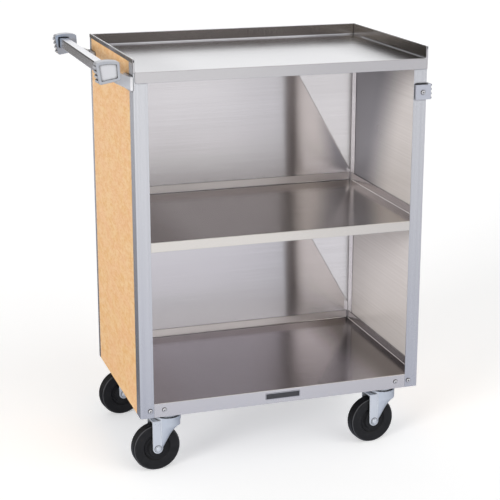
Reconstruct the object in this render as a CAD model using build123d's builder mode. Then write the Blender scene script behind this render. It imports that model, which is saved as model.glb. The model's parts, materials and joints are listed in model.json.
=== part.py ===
from build123d import *
import os

os.makedirs("parts", exist_ok=True)

# A three-shelf utility cart with closed ends and back, open towards -Y.
# It stands on the floor at Z = 0, with the origin under the middle of its overall box.
# All sizes are in millimetres.

# Body
body_width = 622.0
body_depth = 406.0
body_bottom = 130.0
rim_top = 876.0
top_surface = 850.5
middle_surface = 506.0
bottom_surface = 160.0

# Sheet thicknesses
shelf_sheet = 1.2
post_sheet = 1.5
wall_sheet = 1.0

# Shelves
top_lip = 22.0
middle_lip = 20.0
lip_return = 7.0
lip_corner = 5.0
lip_end_gap = 0.4
hem_height = 8.0
hem_bend = 1.4
hem_slot = (0.7, 2.5)
hem_slot_inset = 1.8
hem_slot_depth = 6.0
flange_height = 18.0
corner_notch = 5.0
cove_radius = 2.0
tray_cove = 3.0
lip_bend = 1.0
joint_gap = 0.2
near = 0.1

# Corner posts and the upright flanges of the back wall
post_width = 29.0
post_side = 32.0
rear_post_leg = 18.0
wall_flange = 24.0
bend_radius = 2.4

# Handle: head corners as (distance out from the left face, height)
bar_size = 20.0
bar_wall = 1.5
bar_corner = 2.5
bar_end_gap = 1.0
bar_out = 58.0
bar_height = 860.0
head_thick = 24.0
head_proud = 20.0
head_outer_top = (76.5, 874.0)
head_peak = (53.0, 878.0)
head_inner_top = (30.0, 875.0)
head_inner_bottom = (28.5, 840.0)
head_outer_bottom = (70.5, 832.5)
head_rim = 5.5
head_recess = 2.5
rib_count = 4
rib_pitch = 9.0
rib_first = 839.0
rib_height = 4.6
rib_proud = 2.6
socket_depth = 15.0
socket_mouth = 6.0
head_corner = 4.0
head_edge = 1.2
recess_corner = 1.5
rib_root = 4.0
rib_setback = 1.5
mouth_gap = 1.4
neck_profile = (
    (4.0, 816.0),
    (34.0, 831.0),
    (40.0, 842.0),
    (33.0, 852.0),
    (18.0, 847.5),
    (4.0, 841.5),
)
neck_setback = 1.0
neck_width = 22.0
foot_thick = 5.0
foot_low = 813.5
foot_high = 842.5
foot_length = 60.0
foot_corner = 4.0
foot_screw_setbacks = (30.0, 50.0)
foot_screw_height = 828.5
foot_screw_room = 0.6

# Bumper on the right end
bumper_reach = 11.5
bumper_low = 766.0
bumper_high = 797.0
bumper_ribs = 4
groove_depth = 5.0
rib_nose = 1.5
clip_depth = 7.0
clip_sheet = 2.0
clip_corner = 1.5
pad_proud = 1.8
clip_side_length = 40.0
clip_inset = 27.0
clip_screw_inset = 11.4
clip_screw_height = 781.2

# Screws and the plain label plate
screw_head = 4.4
screw_head_height = 2.6
screw_head_round = 1.8
screw_shank = 2.2
tie_screw_insets = (21.0, 51.0)
tie_screw_height = 145.5
tie_sheet = 2.0
tie_span = (6.0, 75.0)
tie_heights = (6.0, 27.0)
screw_hole_run = 8.0
label_size = (77.0, 14.0)
label_height = 146.4
label_thick = 0.8
label_border = 1.2
label_corners = (1.2, 0.8)

# Casters: the turns are the headings of the four forks as they stand
caster_spread_x = 488.6
caster_spread_y = 326.2
caster_turns = {"front_left": 3.3, "front_right": 6.4, "rear_left": 8.4, "rear_right": 6.0}
caster_seat = 134.0
trail = 27.5
wheel_radius = 51.5
wheel_face_half = 13.0
wheel_hub_half = 15.5
wheel_hub_radius = 19.0
wheel_web_half = 10.0
wheel_rim_inner = 27.0
hub_draft = 1.5
rim_draft = 2.5
shoulder_steps = ((4.5, 0.0), (1.5, 2.0), (0.0, 5.0))
bearing_outer = 8.0
running_clearance = 0.05
sleeve_outer = 6.5
axle_radius = 5.0
axle_flange = (7.0, 1.3)
axle_dome = (5.0, 3.4)
axle_dome_round = 1.8
axle_nut_flats = 17.0
leg_gap_half = 16.5
leg_sheet = 3.5
leg_boss = 11.0
leg_edge = 1.2
crown_radius = 28.5
crown_skirt = 100.0
crown_low = 110.5
crown_high = 114.0
race_top = 119.5
race_wall = 3.5
kingpin_radius = 6.0
kingpin_head = 11.0
kingpin_head_height = 4.5
kingpin_round = 2.0
head_gap = 0.3
ball_radius = 3.0
ball_count = 14
ball_circle = 21.0
ball_gap = 0.1
dome_gap = 0.7
dome_taper = -8.0
plate_size = (92.0, 60.0)
plate_corner = 8.0
plate_thick = 3.5
plate_bolts = (73.0, 40.0)
bolt_radius = 4.0
bolt_hole = 4.25
bolt_flats = 13.0
bolt_head_height = 5.3
bolt_tail = 0.6
nut_height = 5.0
channel_width = 112.0
channel_sheet = 2.0
channel_length = 384.0

# Rounded part of each fork leg, as circles at (height, radius, trailing, sideways)
leg_flare = (
    (50.0, 5.5, 21.5, 13.0),
    (70.0, 10.5, 14.2, 11.5),
    (88.0, 18.5, 8.0, 6.5),
    (crown_skirt, crown_radius, 0.0, 0.0),
)

# Places worked out from the sizes above
rib_top = rib_first + (rib_count - 1) * rib_pitch
head_lean = (head_outer_top[0] - head_outer_bottom[0]) / (head_outer_top[1] - head_outer_bottom[1])


def head_side(height):
    """How far out the leaning outer side of a handle head stands at a height."""
    return head_outer_bottom[0] + (height - head_outer_bottom[1]) * head_lean


handle_reach = head_side(rib_top) + rib_proud
body_x = (handle_reach - bumper_reach) / 2
left = body_x - body_width / 2
right = body_x + body_width / 2
front = -body_depth / 2
back = body_depth / 2
frame_front = front + shelf_sheet
lip_back = frame_front + post_sheet
wall_in = post_sheet + wall_sheet
rim_in = wall_in + shelf_sheet
pan_in = wall_in + wall_sheet
wall_top = rim_top - hem_height
post_top = top_surface - shelf_sheet
middle_plane = Plane.YZ.offset(body_x)
axle_height = wheel_radius
plate_low = caster_seat - plate_thick
ball_height = crown_high + head_gap + ball_radius
dome_low = ball_height + ball_radius + ball_gap
caster_spots = {
    "front_left": (body_x - caster_spread_x / 2, -caster_spread_y / 2),
    "front_right": (body_x + caster_spread_x / 2, -caster_spread_y / 2),
    "rear_left": (body_x - caster_spread_x / 2, caster_spread_y / 2),
    "rear_right": (body_x + caster_spread_x / 2, caster_spread_y / 2),
}


def block(x_span, y_span, z_span, mode=Mode.ADD):
    """Add or cut the rectangular block that fills three spans of the part being made."""
    spans = (x_span, y_span, z_span)
    with Locations(tuple((low + high) / 2 for low, high in spans)):
        Box(*(high - low for low, high in spans), mode=mode)


def drill(centre, axis, radius, length):
    """Cut a round hole of a length, centred on a point, along X, Y or Z."""
    turns = {"X": (0, 90, 0), "Y": (90, 0, 0), "Z": (0, 0, 0)}
    with Locations(centre):
        Cylinder(radius, length, rotation=turns[axis], mode=Mode.SUBTRACT)


def mirrored(piece, plane):
    """The same piece on the other side of a plane."""
    with BuildPart() as other_side:
        mirror(piece, about=plane)
    return other_side.part


def save(piece, name):
    """Label one finished piece and write it to its own file."""
    piece.label = name
    export_step(piece, f"parts/{name}.step")


# Top shelf: a tray with a hemmed rim on its back and ends and a lip over the posts in front
with BuildPart() as top_shelf:
    block((left + wall_in, right - wall_in), (front, back - wall_in), (post_top, top_surface))
    with BuildSketch(Plane.XZ.offset(-front)) as lip:
        with Locations((left + rim_in, top_surface)):
            Rectangle(body_width - rim_in - lip_end_gap, top_lip, align=(Align.MIN, Align.MAX))
        fillet(lip.vertices().group_by(Axis.Y)[0].sort_by(Axis.X)[0], radius=lip_corner)
    extrude(amount=-shelf_sheet)
    for web, hem in (
        ((left + wall_in, left + rim_in), (left, left + rim_in)),
        ((right - rim_in, right - wall_in), (right - rim_in, right)),
    ):
        block(web, (front, back - wall_in), (post_top, rim_top))
        block(hem, (front, back), (wall_top, rim_top))
        block(hem, (front, frame_front), (post_top, wall_top))
    block((left + wall_in, right - wall_in), (back - rim_in, back - wall_in), (post_top, rim_top))
    block((left, right), (back - rim_in, back), (wall_top, rim_top))
    tray_edges = top_shelf.edges().filter_by_position(Axis.Z, top_surface - near, top_surface + near)
    tray_sides = tray_edges.filter_by(Axis.Y).filter_by_position(
        Axis.X, left + rim_in - near, right - rim_in + near
    )
    tray_back = tray_edges.filter_by(Axis.X).sort_by(Axis.Y)[-1]
    fillet([tray_sides.sort_by(Axis.X)[0], tray_sides.sort_by(Axis.X)[-1], tray_back], radius=tray_cove)
    fillet(top_shelf.faces().sort_by(Axis.Z)[-1].edges(), radius=hem_bend)
    lip_edge = top_shelf.edges().filter_by(Axis.X).filter_by_position(
        Axis.Z, top_surface - near, top_surface + near
    )
    fillet(lip_edge.group_by(Axis.Y)[0].sort_by(Edge.length)[-1], radius=lip_bend)
    slot_z = (wall_top + hem_slot_inset, rim_top - hem_slot_inset)
    for side, sign in ((left, 1), (right, -1)):
        slot_x = sorted(side + sign * inset for inset in hem_slot)
        block(slot_x, (front, front + hem_slot_depth), slot_z, mode=Mode.SUBTRACT)
save(top_shelf.part, "top_shelf")


def shelf_pan(surface, lip_height):
    """An inner shelf: upturned flanges on three sides and a lip between the front posts."""
    lip_span = (left + post_width + joint_gap, right - post_width - joint_gap)
    lip_low = surface - lip_height
    with BuildPart() as pan:
        block((left + pan_in, right - pan_in), (lip_back, back - wall_in), (surface - shelf_sheet, surface))
        block(lip_span, (frame_front, lip_back), (lip_low, surface))
        block(lip_span, (lip_back, frame_front + lip_return), (lip_low, lip_low + shelf_sheet))
        flange = (surface - shelf_sheet, surface + flange_height)
        side_run = (lip_back + lip_bend, back - wall_in - corner_notch)
        block((left + pan_in, left + pan_in + shelf_sheet), side_run, flange)
        block((right - pan_in - shelf_sheet, right - pan_in), side_run, flange)
        back_run = (left + pan_in + corner_notch, right - pan_in - corner_notch)
        block(back_run, (back - wall_in - shelf_sheet, back - wall_in), flange)
        seams = pan.edges().filter_by_position(Axis.Z, surface - near, surface + near)
        inner = left + pan_in + shelf_sheet
        outer = right - pan_in - shelf_sheet
        side_seams = seams.filter_by(Axis.Y).filter_by_position(Axis.X, inner - near, outer + near)
        long_seams = side_seams.sort_by(Edge.length)[-2:]
        back_seam = seams.filter_by(Axis.X).sort_by(Edge.length)[-2:].sort_by(Axis.Y)[-1]
        fillet([*long_seams, back_seam], radius=cove_radius)
        lip_edge = pan.edges().filter_by(Axis.X).filter_by_position(Axis.Z, surface - near, surface + near)
        fillet(lip_edge.sort_by(Axis.Y)[0], radius=lip_bend)
    return pan.part


middle_shelf = shelf_pan(middle_surface, middle_lip)
save(middle_shelf, "middle_shelf")

tie_screw_spots = [
    (side + sign * inset, tie_screw_height)
    for side, sign in ((left, 1), (right, -1))
    for inset in tie_screw_insets
]
with BuildPart() as bottom_shelf:
    add(shelf_pan(bottom_surface, bottom_surface - body_bottom))
    for x, z in tie_screw_spots:
        drill((x, frame_front, z), "Y", screw_shank, screw_hole_run)
save(bottom_shelf.part, "bottom_shelf")

# Front posts: bent angles whose end legs run up beside the tray's rim
clip_screw_x = right - clip_screw_inset
with BuildPart() as front_post:
    with BuildSketch(Plane.XY.offset(body_bottom)) as angle:
        with Locations((left, frame_front)):
            Rectangle(post_width, post_sheet, align=Align.MIN)
            Rectangle(post_sheet, post_side, align=Align.MIN)
        fillet(angle.vertices().sort_by_distance((left, frame_front))[0], radius=bend_radius)
    extrude(amount=post_top - body_bottom)
    block(
        (left, left + post_sheet),
        (frame_front + bend_radius, frame_front + post_side),
        (post_top, wall_top),
    )
    drill((left + tie_screw_insets[0], frame_front, tie_screw_height), "Y", screw_shank, screw_hole_run)
plain_post = front_post.part
with BuildPart() as front_post_left:
    add(plain_post)
    drill((left, front + foot_screw_setbacks[0], foot_screw_height), "X", screw_shank, screw_hole_run)
save(front_post_left.part, "front_post_left")
with BuildPart() as front_post_right:
    mirror(plain_post, about=middle_plane)
    drill((clip_screw_x, frame_front, clip_screw_height), "Y", screw_shank, screw_hole_run)
save(front_post_right.part, "front_post_right")

# Rear posts: narrower angles, flush with the laminate
with BuildPart() as rear_post_left:
    with BuildSketch(Plane.XY.offset(body_bottom)) as angle:
        with Locations((left, back)):
            Rectangle(rear_post_leg, post_sheet, align=(Align.MIN, Align.MAX))
            Rectangle(post_sheet, rear_post_leg, align=(Align.MIN, Align.MAX))
        fillet(angle.vertices().sort_by_distance((left, back))[0], radius=bend_radius)
    extrude(amount=wall_top - body_bottom)
save(rear_post_left.part, "rear_post_left")
with BuildPart() as rear_post_right:
    mirror(rear_post_left.part, about=middle_plane)
    drill((clip_screw_x, back, clip_screw_height), "Y", screw_shank, screw_hole_run)
save(rear_post_right.part, "rear_post_right")

# Inner walls of sheet steel, behind the posts
foot_screw_ys = [sign * (front + setback) for sign in (1, -1) for setback in foot_screw_setbacks]
with BuildPart() as plain_wall:
    block((left + post_sheet, left + wall_in), (lip_back, back - wall_in), (body_bottom, wall_top))
with BuildPart() as left_wall:
    add(plain_wall.part)
    for y in foot_screw_ys:
        drill((left, y, foot_screw_height), "X", screw_shank, screw_hole_run)
save(left_wall.part, "left_wall")
save(mirrored(plain_wall.part, middle_plane), "right_wall")
with BuildPart() as back_wall:
    back_run = (left + post_sheet, right - post_sheet)
    block(back_run, (back - wall_in, back - post_sheet), (body_bottom, wall_top))
    for flange in ((left + wall_in, left + pan_in), (right - pan_in, right - wall_in)):
        block(flange, (back - wall_in - wall_flange, back - wall_in), (body_bottom, post_top))
save(back_wall.part, "back_wall")

# Laminate panels between the posts
side_run = (frame_front + post_side + joint_gap, back - rear_post_leg - joint_gap)
with BuildPart() as plain_laminate:
    block((left, left + post_sheet), side_run, (body_bottom, wall_top - joint_gap))
with BuildPart() as left_laminate:
    add(plain_laminate.part)
    for y in foot_screw_ys[1:]:
        drill((left, y, foot_screw_height), "X", screw_shank, screw_hole_run)
save(left_laminate.part, "left_laminate")
save(mirrored(plain_laminate.part, middle_plane), "right_laminate")
with BuildPart() as back_laminate:
    back_run = (left + rear_post_leg + joint_gap, right - rear_post_leg - joint_gap)
    block(back_run, (back - post_sheet, back), (body_bottom, wall_top - joint_gap))
save(back_laminate.part, "back_laminate")

# Ties that screw each front post to the bottom shelf's lip
with BuildPart() as tie:
    tie_x = tuple(left + inset for inset in tie_span)
    tie_z = tuple(body_bottom + height for height in tie_heights)
    block(tie_x, (lip_back, lip_back + tie_sheet), tie_z)
    for inset in tie_screw_insets:
        drill((left + inset, lip_back, tie_screw_height), "Y", screw_shank, screw_hole_run)
save(tie.part, "corner_tie_left")
save(mirrored(tie.part, middle_plane), "corner_tie_right")


def pan_screw(length):
    """A pan-head screw standing on the current place, its head up and its shank down."""
    with BuildPart() as screw:
        Cylinder(screw_head, screw_head_height, align=(Align.CENTER, Align.CENTER, Align.MIN))
        fillet(screw.edges().sort_by(Axis.Z)[-1], radius=screw_head_round)
        Cylinder(screw_shank, length, align=(Align.CENTER, Align.CENTER, Align.MAX))
    return screw.part


def screw_group(screw, planes):
    """One screw on each of several planes, its head along the plane's normal."""
    with BuildPart() as group:
        for plane in planes:
            add(plane.location * screw)
    return group.part


front_face = Plane.XZ.offset(-frame_front)
tie_screw = pan_screw(post_sheet + tie_sheet)
tie_planes = [front_face.shift_origin((x, frame_front, z)) for x, z in tie_screw_spots]
save(screw_group(tie_screw, tie_planes), "corner_screws")

# Plain label plate with a raised border
with BuildPart() as label_plate:
    with BuildSketch(front_face) as plate_outline:
        with Locations((body_x, label_height)):
            RectangleRounded(*label_size, label_corners[0])
    extrude(amount=label_thick)
    with BuildSketch(front_face.offset(label_thick)) as panel:
        with Locations((body_x, label_height)):
            RectangleRounded(*(size - 2 * label_border for size in label_size), label_corners[1])
    extrude(amount=-label_thick / 2, mode=Mode.SUBTRACT)
save(label_plate.part, "label_plate")

# Handle bar: a square tube held at both ends
bar_x = left - bar_out
bar_end = -front + head_proud - head_thick + socket_depth - bar_end_gap
with BuildPart() as handle_bar:
    with BuildSketch(Plane.XZ) as bar_section:
        with Locations((bar_x, bar_height)):
            RectangleRounded(bar_size, bar_size, bar_corner)
            bore = bar_size - 2 * bar_wall
            RectangleRounded(bore, bore, bar_corner - bar_wall, mode=Mode.SUBTRACT)
    extrude(amount=bar_end, both=True)
save(handle_bar.part, "handle_bar")

# Handle bracket: a head for the bar, a neck down to the cart's end and a foot screwed to it
head_front = front - head_proud
head_back = head_front + head_thick
neck_front = front + neck_setback


def head_face():
    """Draw the face of a handle head, with an arched top, in the current sketch."""
    corners = (head_outer_top, head_peak, head_inner_top, head_inner_bottom, head_outer_bottom)
    outer_top, peak, inner_top, inner_bottom, outer_bottom = [
        (left - out, height) for out, height in corners
    ]
    with BuildLine() as outline:
        ThreePointArc(outer_top, peak, inner_top)
        Polyline(inner_top, inner_bottom, outer_bottom, outer_top)
    make_face(outline.edges())


with BuildPart() as front_bracket:
    with BuildSketch(Plane.XZ.offset(-head_front)) as head:
        head_face()
        fillet(head.vertices(), radius=head_corner)
    extrude(amount=-head_thick)
    for step in range(rib_count):
        height = rib_first + step * rib_pitch
        out = head_side(height)
        block(
            (left - out - rib_proud, left - out + rib_root),
            (head_front + rib_setback, head_back - rib_setback),
            (height - rib_height / 2, height + rib_height / 2),
        )
    fillet(front_bracket.faces().sort_by(Axis.Y)[0].edges(), radius=head_edge)
    with BuildSketch(Plane.XZ.offset(-head_front)) as recess:
        head_face()
        offset(amount=-head_rim, kind=Kind.INTERSECTION, mode=Mode.REPLACE)
        fillet(recess.vertices(), radius=recess_corner)
    extrude(amount=-head_recess, mode=Mode.SUBTRACT)
    with BuildSketch(Plane.XZ.offset(-neck_front)) as neck:
        with BuildLine():
            Polyline(*[(left - out, height) for out, height in neck_profile], close=True)
        make_face()
    extrude(amount=-neck_width)
    with BuildSketch(Plane.YZ.offset(left)) as foot:
        with Locations((neck_front + foot_length / 2, (foot_low + foot_high) / 2)):
            RectangleRounded(foot_length, foot_high - foot_low, foot_corner)
    extrude(amount=-foot_thick)
    socket = bar_size / 2 + joint_gap
    mouth = bar_size / 2 + mouth_gap
    for half, depth in ((socket, socket_depth), (mouth, socket_mouth)):
        block(
            (bar_x - half, bar_x + half),
            (head_back - depth, head_back),
            (bar_height - half, bar_height + half),
            mode=Mode.SUBTRACT,
        )
    for setback in foot_screw_setbacks:
        drill((left, front + setback, foot_screw_height), "X", screw_shank, 4 * foot_thick)
        driver_path = (left - foot_thick - bar_out, front + setback, foot_screw_height)
        drill(driver_path, "X", screw_head + foot_screw_room, 2 * bar_out)
save(front_bracket.part, "handle_bracket_front")
save(mirrored(front_bracket.part, Plane.XZ), "handle_bracket_rear")

foot_screw = pan_screw(foot_thick + wall_in)
foot_places = [(left - foot_thick, y, foot_screw_height) for y in foot_screw_ys]
foot_planes = [Plane(place, x_dir=(0, 1, 0), z_dir=(-1, 0, 0)) for place in foot_places]
save(screw_group(foot_screw, foot_planes), "handle_screws")

# Ribbed bumper strip along the right end, held by a clip round each corner
strip_in = right + clip_sheet
strip_face = right + bumper_reach
rib_band = (bumper_high - bumper_low) / (2 * bumper_ribs - 1)
with BuildPart() as bumper_strip:
    block((strip_in, strip_face), (frame_front, back), (bumper_low, bumper_high))
    for step in range(bumper_ribs - 1):
        groove_low = bumper_low + (2 * step + 1) * rib_band
        block(
            (strip_face - groove_depth, strip_face),
            (frame_front, back),
            (groove_low, groove_low + rib_band),
            mode=Mode.SUBTRACT,
        )
    tips = bumper_strip.faces().filter_by(Axis.X).group_by(Axis.X)[-1]
    fillet([edge for tip in tips for edge in tip.edges().filter_by(Axis.Y)], radius=rib_nose)
save(bumper_strip.part, "bumper_strip")


def bumper_clip(face, outward):
    """A cup on one corner post, open at the top, that covers the strip's end, with a leg behind it."""
    with BuildPart() as clip:
        cup_y = sorted((face, face + outward * clip_depth))
        block((right - clip_inset, strip_face - groove_depth), cup_y, (bumper_low, bumper_high))
        outer_corners = clip.edges().filter_by(Axis.Y).group_by(Axis.X)[0]
        fillet(outer_corners, radius=clip_corner)
        pocket_y = sorted((face, face + outward * (clip_depth - clip_sheet)))
        pocket_x = (right - clip_inset + clip_sheet, right)
        block(pocket_x, pocket_y, (bumper_low + clip_sheet, bumper_high), mode=Mode.SUBTRACT)
        leg_y = sorted((face, face - outward * clip_side_length))
        block((right, right + clip_sheet), leg_y, (bumper_low, bumper_high))
        drill((clip_screw_x, face, clip_screw_height), "Y", screw_shank, 4 * clip_depth)
    return clip.part


clip_places = ((frame_front, -1), (back, 1))
save(bumper_clip(*clip_places[0]), "bumper_clip_front")
save(bumper_clip(*clip_places[1]), "bumper_clip_rear")

# Soft pads that fill the clips and stand a little above them
with BuildPart() as bumper_pads:
    for face, outward in clip_places:
        pad_y = sorted((face, face + outward * (clip_depth - clip_sheet)))
        pad_z = (bumper_low + clip_sheet, bumper_high + pad_proud)
        block((right - clip_inset + clip_sheet, right), pad_y, pad_z)
        drill((clip_screw_x, face, clip_screw_height), "Y", screw_shank, 4 * clip_depth)
save(bumper_pads.part, "bumper_pads")

clip_screw = pan_screw(clip_depth + post_sheet)
clip_planes = [
    front_face.shift_origin((clip_screw_x, frame_front, clip_screw_height)).offset(clip_depth),
    Plane((clip_screw_x, back + clip_depth, clip_screw_height), x_dir=(1, 0, 0), z_dir=(0, 1, 0)),
]
save(screw_group(clip_screw, clip_planes), "bumper_screws")

# Channels under the bottom shelf that carry the casters
bolt_spots = [
    (sign_x * plate_bolts[0] / 2, sign_y * plate_bolts[1] / 2) for sign_x in (-1, 1) for sign_y in (-1, 1)
]
channel_x = body_x - caster_spread_x / 2
channel_span = (channel_x - channel_width / 2, channel_x + channel_width / 2)
channel_run = (-channel_length / 2, channel_length / 2)
with BuildPart() as channel:
    block(channel_span, channel_run, (caster_seat, bottom_surface - shelf_sheet))
    inside = (channel_span[0] + channel_sheet, channel_span[1] - channel_sheet)
    inside_z = (caster_seat + channel_sheet, bottom_surface)
    block(inside, channel_run, inside_z, mode=Mode.SUBTRACT)
    for spot_y in (-caster_spread_y / 2, caster_spread_y / 2):
        for x, y in bolt_spots:
            drill((channel_x + x, spot_y + y, caster_seat), "Z", bolt_hole, 4 * channel_sheet)
save(channel.part, "caster_channel_left")
save(mirrored(channel.part, middle_plane), "caster_channel_right")

# Caster, in its own frame: the swivel axis is Z and the wheel trails towards -X
with BuildPart() as caster_plate:
    with BuildSketch(Plane.XY.offset(plate_low)) as plate_outline:
        RectangleRounded(*plate_size, plate_corner)
        with Locations(*bolt_spots):
            Circle(bolt_hole, mode=Mode.SUBTRACT)
    extrude(amount=plate_thick)
    with BuildSketch(Plane.XY.offset(dome_low)) as dome:
        Circle(crown_radius - race_wall - dome_gap)
    extrude(amount=plate_low - dome_low, taper=dome_taper)
    drill((0, 0, plate_low), "Z", kingpin_radius, caster_seat)

with BuildPart() as kingpin:
    with Locations((0, 0, caster_seat)):
        Cylinder(
            kingpin_radius,
            caster_seat - crown_low + head_gap,
            align=(Align.CENTER, Align.CENTER, Align.MAX),
        )
    with Locations((0, 0, crown_low - head_gap)):
        Cylinder(kingpin_head, kingpin_head_height, align=(Align.CENTER, Align.CENTER, Align.MAX))
    fillet(kingpin.edges().sort_by(Axis.Z)[0], radius=kingpin_round)

with BuildPart() as swivel_balls:
    with Locations((0, 0, ball_height)):
        with PolarLocations(ball_circle, ball_count):
            Sphere(ball_radius)


def flare_form(inset):
    """The full round form of the front leg's flare, smaller by an inset."""
    with BuildPart() as form:
        for height, radius, trailing, sideways in leg_flare:
            with BuildSketch(Plane.XY.offset(height)):
                with Locations((-trailing, -sideways)):
                    Circle(radius - inset)
        loft()
    return form.part


with BuildPart() as leg_plates:
    with BuildSketch(Plane.XZ) as leg_outline:
        with Locations((-trail, axle_height)):
            Circle(leg_boss)
        with Locations((-trail, crown_high)):
            Rectangle(2 * leg_boss, leg_sheet, align=(Align.CENTER, Align.MAX))
        make_hull()
    extrude(amount=leg_gap_half + leg_sheet, both=True)
    outer_faces = leg_plates.faces().filter_by(Axis.Y)
    fillet([edge for face in outer_faces for edge in face.edges()], radius=leg_edge)

outer_form = flare_form(0)
inner_form = flare_form(leg_sheet)
wheel_room = trail + 2 * wheel_radius
with BuildPart() as leg_shell:
    add(outer_form)
    add(inner_form, mode=Mode.SUBTRACT)
    block(
        (-wheel_room, wheel_room),
        (-leg_gap_half, wheel_room),
        (0, crown_skirt),
        mode=Mode.SUBTRACT,
    )

with BuildPart() as fork:
    with Locations((0, 0, crown_skirt)):
        Cylinder(
            crown_radius,
            race_top - crown_skirt,
            align=(Align.CENTER, Align.CENTER, Align.MIN),
        )
    for low, high in ((crown_skirt, crown_low), (crown_high, race_top)):
        with Locations((0, 0, low)):
            Cylinder(
                crown_radius - race_wall,
                high - low,
                align=(Align.CENTER, Align.CENTER, Align.MIN),
                mode=Mode.SUBTRACT,
            )
    add(leg_shell.part)
    mirror(leg_shell.part, about=Plane.XZ)
    add(leg_plates.part)
    block((-wheel_room, wheel_room), (-leg_gap_half, leg_gap_half), (0, crown_low), mode=Mode.SUBTRACT)
    drill((0, 0, crown_low), "Z", kingpin_radius + running_clearance, 2 * crown_radius)
    drill((-trail, 0, axle_height), "Y", axle_radius, 4 * crown_radius)

leg_face = leg_gap_half + leg_sheet
axle_line = Axis((-trail, 0, axle_height), (0, 1, 0))
axle_front = Plane((-trail, -leg_face, axle_height), x_dir=(1, 0, 0), z_dir=(0, -1, 0))
axle_back = Plane((-trail, leg_face, axle_height), x_dir=(1, 0, 0), z_dir=(0, 1, 0))
with BuildPart() as axle_bolt:
    for radius, height in (axle_flange, axle_dome):
        with BuildSketch(axle_front) as bolt_head:
            Circle(radius)
        extrude(amount=height)
    fillet(axle_bolt.edges().sort_by(Axis.Y)[0], radius=axle_dome_round)
    with BuildSketch(axle_front) as shank:
        Circle(axle_radius)
    extrude(amount=-2 * leg_face - nut_height - bolt_tail)

with BuildPart() as axle_nut:
    with BuildSketch(axle_back) as nut_outline:
        RegularPolygon(axle_nut_flats / 2, 6, major_radius=False)
        Circle(axle_radius, mode=Mode.SUBTRACT)
    extrude(amount=nut_height)

with BuildPart() as axle_sleeve:
    with BuildSketch(Plane.XZ) as sleeve_ring:
        with Locations((-trail, axle_height)):
            Circle(sleeve_outer)
            Circle(axle_radius, mode=Mode.SUBTRACT)
    extrude(amount=leg_gap_half, both=True)

with BuildPart() as hub_bearing:
    with BuildSketch(Plane.XZ) as bearing_ring:
        with Locations((-trail, axle_height)):
            Circle(bearing_outer)
            Circle(sleeve_outer + running_clearance, mode=Mode.SUBTRACT)
    extrude(amount=wheel_hub_half, both=True)

wheel_section = Plane((-trail, 0, axle_height), x_dir=(0, 0, 1), z_dir=(1, 0, 0))
half_profile = [
    (bearing_outer, wheel_hub_half),
    (wheel_hub_radius, wheel_hub_half),
    (wheel_hub_radius + hub_draft, wheel_web_half),
    (wheel_rim_inner, wheel_web_half),
    (wheel_rim_inner + rim_draft, wheel_face_half),
    *[(wheel_radius - drop, wheel_face_half - inward) for drop, inward in shoulder_steps],
]
with BuildPart() as wheel:
    with BuildSketch(wheel_section) as tyre_section:
        with BuildLine():
            Polyline(*half_profile, *[(r, -y) for r, y in reversed(half_profile)], close=True)
        make_face()
    revolve(axis=axle_line)

# The four casters, each fork turned to its own heading
turning = {
    "fork": fork,
    "axle_bolt": axle_bolt,
    "axle_nut": axle_nut,
    "axle_sleeve": axle_sleeve,
    "wheel": wheel,
    "hub_bearing": hub_bearing,
}
for corner, (x, y) in caster_spots.items():
    upright = Location((x, y, 0))
    turned = Location((x, y, 0), (0, 0, caster_turns[corner]))
    save(caster_plate.part.moved(upright), f"caster_plate_{corner}")
    for name, piece in turning.items():
        save(piece.part.moved(turned), f"{name}_{corner}")

with BuildPart() as kingpins:
    with Locations(*[Location((x, y, 0)) for x, y in caster_spots.values()]):
        add(kingpin.part)
save(kingpins.part, "kingpins")
with BuildPart() as all_balls:
    with Locations(*[Location((x, y, 0)) for x, y in caster_spots.values()]):
        add(swivel_balls.part)
save(all_balls.part, "swivel_balls")

bolt_places = [(x + dx, y + dy) for x, y in caster_spots.values() for dx, dy in bolt_spots]
bolt_top = caster_seat + channel_sheet
with BuildPart() as caster_bolts:
    with BuildSketch(Plane.XY.offset(bolt_top)) as bolt_heads:
        with Locations(*bolt_places):
            RegularPolygon(bolt_flats / 2, 6, major_radius=False)
    extrude(amount=bolt_head_height)
    with BuildSketch(Plane.XY.offset(bolt_top)) as shanks:
        with Locations(*bolt_places):
            Circle(bolt_radius)
    extrude(amount=plate_low - nut_height - bolt_tail - bolt_top)
save(caster_bolts.part, "caster_bolts")
with BuildPart() as caster_nuts:
    with BuildSketch(Plane.XY.offset(plate_low)) as nuts:
        with Locations(*bolt_places):
            RegularPolygon(bolt_flats / 2, 6, major_radius=False)
            Circle(bolt_radius, mode=Mode.SUBTRACT)
    extrude(amount=-nut_height)
save(caster_nuts.part, "caster_nuts")

print(f"body centre at X {body_x:.3f}, handle reach {handle_reach:.3f}")
for corner, (x, y) in caster_spots.items():
    print(f"{corner}: swivel axis at {x:.3f}, {y:.3f}")
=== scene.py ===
# %% [markdown]
# # Dressing a utility cart
# This lesson gives a sheet steel utility cart its looks: brushed steel, a light wood laminate, zinc
# plated casters, black rubber wheels. The cart's solids come ready made from the packed model. They
# are a fixed frame: nothing in this file moves or reshapes them, it only paints them and adds the
# small pieces that a solid model leaves out.

# %% Load the packed cart
import json
import math
import bmesh
import bpy
from mathutils import Matrix, Vector


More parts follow.
